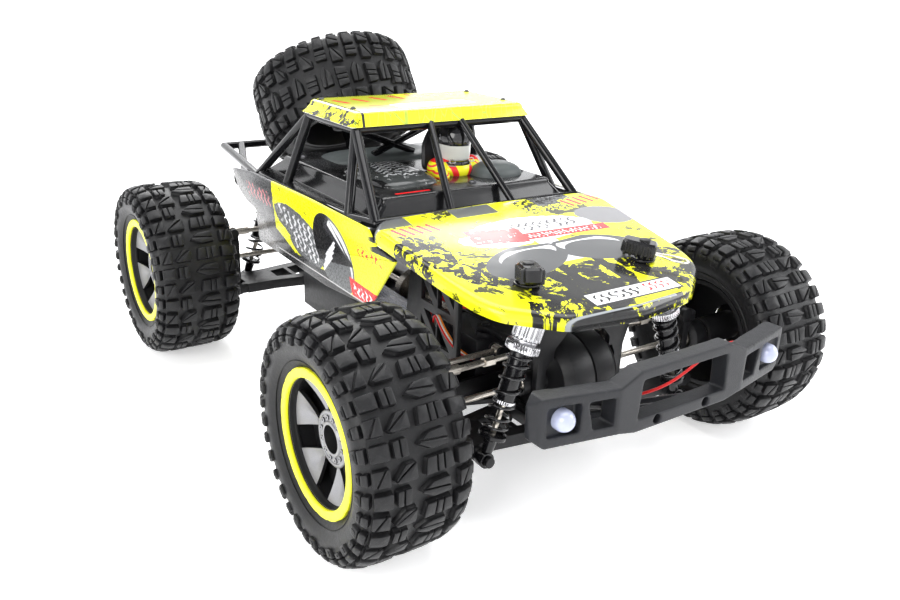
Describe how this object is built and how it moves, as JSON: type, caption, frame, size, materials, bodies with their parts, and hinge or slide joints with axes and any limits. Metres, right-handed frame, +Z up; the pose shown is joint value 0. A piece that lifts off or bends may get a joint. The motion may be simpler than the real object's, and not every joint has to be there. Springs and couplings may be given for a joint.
{
  "type": "rc buggy",
  "caption": "Four-wheel-drive off-road radio-controlled buggy with tube cage, printed body panels, sprung suspension, linked steering and a spare wheel.",
  "frame": {"origin": "on the floor, below the centre of the overall box", "axes": "+Z up, the front faces -Y, the vehicle's left side is +X"},
  "size_m": [0.32, 0.424, 0.2238],
  "materials": {
    "tyre_rubber": "soft black rubber with a matt sheen",
    "rim_plastic": "satin gunmetal grey with a bright yellow bead ring",
    "chassis_plastic": "fine-grained black nylon",
    "steel": "bright turned steel",
    "shock_aluminium": "silver anodised cap and collar, black body",
    "spring_steel": "gloss black coated wire",
    "motor_can": "plated can",
    "case_plastic": "black moulded case",
    "battery_wrap": "shrink-wrapped pack",
    "bumper_plastic": "dark grey textured moulding",
    "lamp_lens": "milky white dome",
    "wire_insulation": "red silicone insulation",
    "cage_plastic": "gloss black tube",
    "printed_panel": "bright yellow printed sheet with black splatter and grey strokes",
    "deck_panel": "black sheet with grey printed patches",
    "driver_plastic": "painted figure: black and grey helmet, yellow suit with red straps"
  },
  "bodies": {
    "root": {"chassis_tub": "chassis_plastic", "gearboxes": "chassis_plastic", "shock_towers": "chassis_plastic", "motor": "motor_can", "steering_servo": "case_plastic", "battery_pack": "battery_wrap", "control_unit": "case_plastic", "front_bumper": "bumper_plastic", "bumper_lamps": "lamp_lens", "wiring": "wire_insulation"},
    "body_shell": {"roll_cage": "cage_plastic", "roof_panel": "printed_panel", "hood_panel": "printed_panel", "side_panels": "printed_panel", "cockpit_deck": "deck_panel", "driver_figure": "driver_plastic", "spare_wheel": "tyre_rubber"},
    "servo_horn": {"servo_horn": "chassis_plastic"},
    "steering_link": {"steering_link": "chassis_plastic"},
    "centre_shaft": {"centre_shaft": "steel"},
    "arm_fl": {"lower_arm_fl": "chassis_plastic"},
    "upright_fl": {"c_hub_fl": "chassis_plastic"},
    "steer_fl": {"knuckle_fl": "chassis_plastic"},
    "tie_fl": {"tie_rod_fl": "steel"},
    "wheel_fl": {"tyre_fl": "tyre_rubber", "rim_fl": "rim_plastic"},
    "link_fl": {"upper_link_fl": "steel"},
    "shock_fl": {"shock_body_fl": "shock_aluminium", "spring_fl": "spring_steel"},
    "piston_fl": {"shock_shaft_fl": "steel"},
    "dogbone_fl": {"drive_shaft_fl": "steel"},
    "arm_fr": {"lower_arm_fr": "chassis_plastic"},
    "upright_fr": {"c_hub_fr": "chassis_plastic"},
    "steer_fr": {"knuckle_fr": "chassis_plastic"},
    "tie_fr": {"tie_rod_fr": "steel"},
    "wheel_fr": {"tyre_fr": "tyre_rubber", "rim_fr": "rim_plastic"},
    "link_fr": {"upper_link_fr": "steel"},
    "shock_fr": {"shock_body_fr": "shock_aluminium", "spring_fr": "spring_steel"},
    "piston_fr": {"shock_shaft_fr": "steel"},
    "dogbone_fr": {"drive_shaft_fr": "steel"},
    "arm_rl": {"lower_arm_rl": "chassis_plastic"},
    "upright_rl": {"hub_carrier_rl": "chassis_plastic"},
    "wheel_rl": {"tyre_rl": "tyre_rubber", "rim_rl": "rim_plastic"},
    "link_rl": {"upper_link_rl": "steel"},
    "shock_rl": {"shock_body_rl": "shock_aluminium", "spring_rl": "spring_steel"},
    "piston_rl": {"shock_shaft_rl": "steel"},
    "dogbone_rl": {"drive_shaft_rl": "steel"},
    "arm_rr": {"lower_arm_rr": "chassis_plastic"},
    "upright_rr": {"hub_carrier_rr": "chassis_plastic"},
    "wheel_rr": {"tyre_rr": "tyre_rubber", "rim_rr": "rim_plastic"},
    "link_rr": {"upper_link_rr": "steel"},
    "shock_rr": {"shock_body_rr": "shock_aluminium", "spring_rr": "spring_steel"},
    "piston_rr": {"shock_shaft_rr": "steel"},
    "dogbone_rr": {"drive_shaft_rr": "steel"}
  },
  "joints": [
    {"name": "shell_lift", "type": "slide", "parent": "root", "child": "body_shell", "axis": [0, 0, 1], "range_m": [0, 0.06]},
    {"name": "centre_shaft_spin", "type": "hinge", "parent": "root", "child": "centre_shaft", "pos_m": [0, 0, 0.056], "axis": [0, 1, 0], "continuous": true},
    {"name": "suspension_fl", "type": "hinge", "parent": "root", "child": "arm_fl", "pos_m": [0.024, -0.131, 0.038], "axis": [0, -1, 0], "range_deg": [0, 14], "stiffness_Nm_per_rad": 3, "springref_deg": -14.32},
    {"name": "hub_level_fl", "type": "hinge", "parent": "arm_fl", "child": "upright_fl", "pos_m": [0.088, -0.131, 0.038], "axis": [0, -1, 0], "range_deg": [-15, 1]},
    {"name": "link_swing_fl", "type": "hinge", "parent": "root", "child": "link_fl", "pos_m": [0.024, -0.131, 0.079], "axis": [0, -1, 0], "range_deg": [-1, 15]},
    {"name": "dogbone_swing_fl", "type": "hinge", "parent": "root", "child": "dogbone_fl", "pos_m": [0.031, -0.131, 0.06], "axis": [0, -1, 0], "range_deg": [-1, 15]},
    {"name": "shock_swing_fl", "type": "hinge", "parent": "root", "child": "shock_fl", "pos_m": [0.044, -0.1505, 0.111], "axis": [0, -1, 0], "range_deg": [-1, 3.56]},
    {"name": "shock_stroke_fl", "type": "slide", "parent": "shock_fl", "child": "piston_fl", "axis": [-0.3331, 0, 0.9429], "range_m": [-0.001, 0.0118], "deforming": ["spring_fl"]},
    {"name": "steering_fl", "type": "hinge", "parent": "upright_fl", "child": "steer_fl", "pos_m": [0.095, -0.131, 0.06], "axis": [0, 0, 1], "range_deg": [-19, 19]},
    {"name": "tie_swing_fl", "type": "hinge", "parent": "steering_link", "child": "tie_fl", "pos_m": [0.028, -0.103, 0.068], "axis": [0, -1, 0], "range_deg": [-1, 15]},
    {"name": "wheel_spin_fl", "type": "hinge", "parent": "steer_fl", "child": "wheel_fl", "pos_m": [0.131, -0.131, 0.06], "axis": [1, 0, 0], "continuous": true},
    {"name": "suspension_fr", "type": "hinge", "parent": "root", "child": "arm_fr", "pos_m": [-0.024, -0.131, 0.038], "axis": [0, 1, 0], "range_deg": [0, 14], "stiffness_Nm_per_rad": 3, "springref_deg": -14.32},
    {"name": "hub_level_fr", "type": "hinge", "parent": "arm_fr", "child": "upright_fr", "pos_m": [-0.088, -0.131, 0.038], "axis": [0, 1, 0], "range_deg": [-15, 1]},
    {"name": "link_swing_fr", "type": "hinge", "parent": "root", "child": "link_fr", "pos_m": [-0.024, -0.131, 0.079], "axis": [0, 1, 0], "range_deg": [-1, 15]},
    {"name": "dogbone_swing_fr", "type": "hinge", "parent": "root", "child": "dogbone_fr", "pos_m": [-0.031, -0.131, 0.06], "axis": [0, 1, 0], "range_deg": [-1, 15]},
    {"name": "shock_swing_fr", "type": "hinge", "parent": "root", "child": "shock_fr", "pos_m": [-0.044, -0.1505, 0.111], "axis": [0, 1, 0], "range_deg": [-1, 3.56]},
    {"name": "shock_stroke_fr", "type": "slide", "parent": "shock_fr", "child": "piston_fr", "axis": [0.3331, 0, 0.9429], "range_m": [-0.001, 0.0118], "deforming": ["spring_fr"]},
    {"name": "steering_fr", "type": "hinge", "parent": "upright_fr", "child": "steer_fr", "pos_m": [-0.095, -0.131, 0.06], "axis": [0, 0, 1], "range_deg": [-19, 19]},
    {"name": "tie_swing_fr", "type": "hinge", "parent": "steering_link", "child": "tie_fr", "pos_m": [-0.028, -0.103, 0.068], "axis": [0, 1, 0], "range_deg": [-1, 15]},
    {"name": "wheel_spin_fr", "type": "hinge", "parent": "steer_fr", "child": "wheel_fr", "pos_m": [-0.131, -0.131, 0.06], "axis": [1, 0, 0], "continuous": true},
    {"name": "suspension_rl", "type": "hinge", "parent": "root", "child": "arm_rl", "pos_m": [0.024, 0.145, 0.038], "axis": [0, -1, 0], "range_deg": [0, 14], "stiffness_Nm_per_rad": 3, "springref_deg": -14.32},
    {"name": "hub_level_rl", "type": "hinge", "parent": "arm_rl", "child": "upright_rl", "pos_m": [0.088, 0.145, 0.038], "axis": [0, -1, 0], "range_deg": [-15, 1]},
    {"name": "link_swing_rl", "type": "hinge", "parent": "root", "child": "link_rl", "pos_m": [0.024, 0.145, 0.079], "axis": [0, -1, 0], "range_deg": [-1, 15]},
    {"name": "dogbone_swing_rl", "type": "hinge", "parent": "root", "child": "dogbone_rl", "pos_m": [0.031, 0.145, 0.06], "axis": [0, -1, 0], "range_deg": [-1, 15]},
    {"name": "shock_swing_rl", "type": "hinge", "parent": "root", "child": "shock_rl", "pos_m": [0.044, 0.1645, 0.111], "axis": [0, -1, 0], "range_deg": [-1, 3.56]},
    {"name": "shock_stroke_rl", "type": "slide", "parent": "shock_rl", "child": "piston_rl", "axis": [-0.3331, 0, 0.9429], "range_m": [-0.001, 0.0118], "deforming": ["spring_rl"]},
    {"name": "wheel_spin_rl", "type": "hinge", "parent": "upright_rl", "child": "wheel_rl", "pos_m": [0.131, 0.145, 0.06], "axis": [1, 0, 0], "continuous": true},
    {"name": "suspension_rr", "type": "hinge", "parent": "root", "child": "arm_rr", "pos_m": [-0.024, 0.145, 0.038], "axis": [0, 1, 0], "range_deg": [0, 14], "stiffness_Nm_per_rad": 3, "springref_deg": -14.32},
    {"name": "hub_level_rr", "type": "hinge", "parent": "arm_rr", "child": "upright_rr", "pos_m": [-0.088, 0.145, 0.038], "axis": [0, 1, 0], "range_deg": [-15, 1]},
    {"name": "link_swing_rr", "type": "hinge", "parent": "root", "child": "link_rr", "pos_m": [-0.024, 0.145, 0.079], "axis": [0, 1, 0], "range_deg": [-1, 15]},
    {"name": "dogbone_swing_rr", "type": "hinge", "parent": "root", "child": "dogbone_rr", "pos_m": [-0.031, 0.145, 0.06], "axis": [0, 1, 0], "range_deg": [-1, 15]},
    {"name": "shock_swing_rr", "type": "hinge", "parent": "root", "child": "shock_rr", "pos_m": [-0.044, 0.1645, 0.111], "axis": [0, 1, 0], "range_deg": [-1, 3.56]},
    {"name": "shock_stroke_rr", "type": "slide", "parent": "shock_rr", "child": "piston_rr", "axis": [0.3331, 0, 0.9429], "range_m": [-0.001, 0.0118], "deforming": ["spring_rr"]},
    {"name": "wheel_spin_rr", "type": "hinge", "parent": "upright_rr", "child": "wheel_rr", "pos_m": [-0.131, 0.145, 0.06], "axis": [1, 0, 0], "continuous": true},
    {"name": "steering_slide", "type": "slide", "parent": "root", "child": "steering_link", "axis": [1, 0, 0], "range_m": [-0.0098, 0.0098]},
    {"name": "servo_horn_turn", "type": "hinge", "parent": "root", "child": "servo_horn", "pos_m": [-0.022, -0.083, 0.0725], "axis": [0, 0, 1], "range_deg": [-32, 32]}
  ],
  "couplings": [
    {"joint": "hub_level_fl", "follows": "suspension_fl", "ratio": -1},
    {"joint": "link_swing_fl", "follows": "suspension_fl", "ratio": 1},
    {"joint": "dogbone_swing_fl", "follows": "suspension_fl", "ratio": 1},
    {"joint": "shock_swing_fl", "follows": "suspension_fl", "ratio": 0.18293},
    {"joint": "shock_stroke_fl", "follows": "suspension_fl", "m_per_rad": 0.044384},
    {"joint": "steering_fl", "follows": "steering_fr", "ratio": 1},
    {"joint": "tie_swing_fl", "follows": "suspension_fl", "ratio": 1},
    {"joint": "hub_level_fr", "follows": "suspension_fr", "ratio": -1},
    {"joint": "link_swing_fr", "follows": "suspension_fr", "ratio": 1},
    {"joint": "dogbone_swing_fr", "follows": "suspension_fr", "ratio": 1},
    {"joint": "shock_swing_fr", "follows": "suspension_fr", "ratio": 0.18293},
    {"joint": "shock_stroke_fr", "follows": "suspension_fr", "m_per_rad": 0.044384},
    {"joint": "tie_swing_fr", "follows": "suspension_fr", "ratio": 1},
    {"joint": "hub_level_rl", "follows": "suspension_rl", "ratio": -1},
    {"joint": "link_swing_rl", "follows": "suspension_rl", "ratio": 1},
    {"joint": "dogbone_swing_rl", "follows": "suspension_rl", "ratio": 1},
    {"joint": "shock_swing_rl", "follows": "suspension_rl", "ratio": 0.18293},
    {"joint": "shock_stroke_rl", "follows": "suspension_rl", "m_per_rad": 0.044384},
    {"joint": "hub_level_rr", "follows": "suspension_rr", "ratio": -1},
    {"joint": "link_swing_rr", "follows": "suspension_rr", "ratio": 1},
    {"joint": "dogbone_swing_rr", "follows": "suspension_rr", "ratio": 1},
    {"joint": "shock_swing_rr", "follows": "suspension_rr", "ratio": 0.18293},
    {"joint": "shock_stroke_rr", "follows": "suspension_rr", "m_per_rad": 0.044384},
    {"joint": "steering_slide", "follows": "steering_fr", "m_per_rad": -0.02749},
    {"joint": "servo_horn_turn", "follows": "steering_fr", "ratio": -1.4272}
  ]
}
